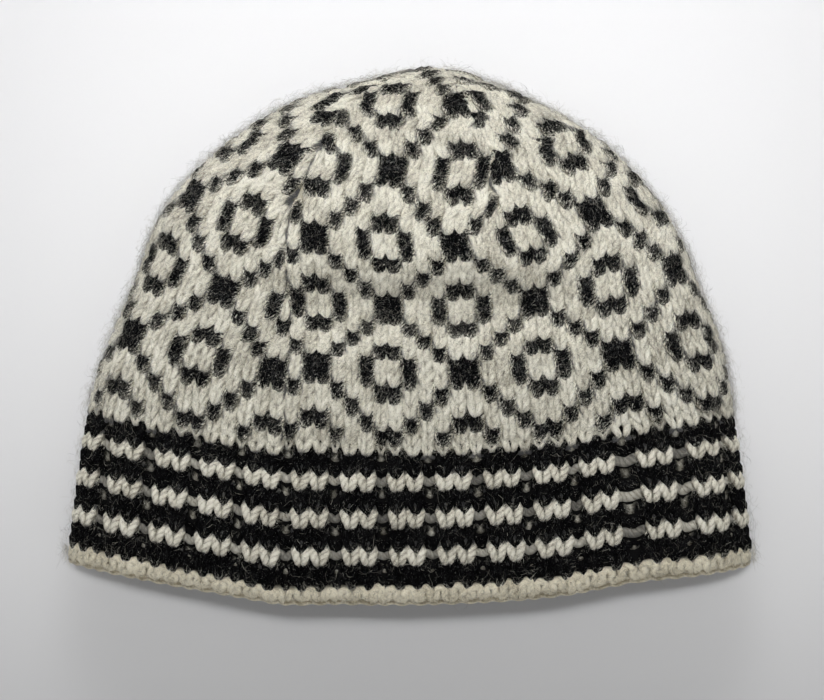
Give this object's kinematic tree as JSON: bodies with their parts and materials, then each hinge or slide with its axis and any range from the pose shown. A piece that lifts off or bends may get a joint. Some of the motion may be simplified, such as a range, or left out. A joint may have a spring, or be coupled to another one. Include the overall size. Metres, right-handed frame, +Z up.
{
  "type": "knitted beanie",
  "caption": "Domed knitted beanie lying flat on its back, with a two-colour patterned crown, a striped ribbed band and a cream cast-on edge; hollow and open at the rim.",
  "frame": {"origin": "centre of the bounding box on the surface the hat lies on", "axes": "+Z up from the surface the hat lies on, +Y from the rim towards the crown, +X towards the right-hand fold as seen in the picture"},
  "size_m": [0.2392, 0.1856, 0.049],
  "materials": {
    "cream_wool": "matt knitted wool, cream with a charcoal pattern, slightly felted and fuzzy",
    "charcoal_wool": "matt knitted wool, charcoal with cream stripes, slightly fuzzy",
    "ecru_wool": "matt knitted wool, plain cream, a little yellower"
  },
  "bodies": {
    "root": {"crown": "cream_wool", "ribbed_band": "charcoal_wool", "cast_on_edge": "ecru_wool"}
  },
  "joints": []
}
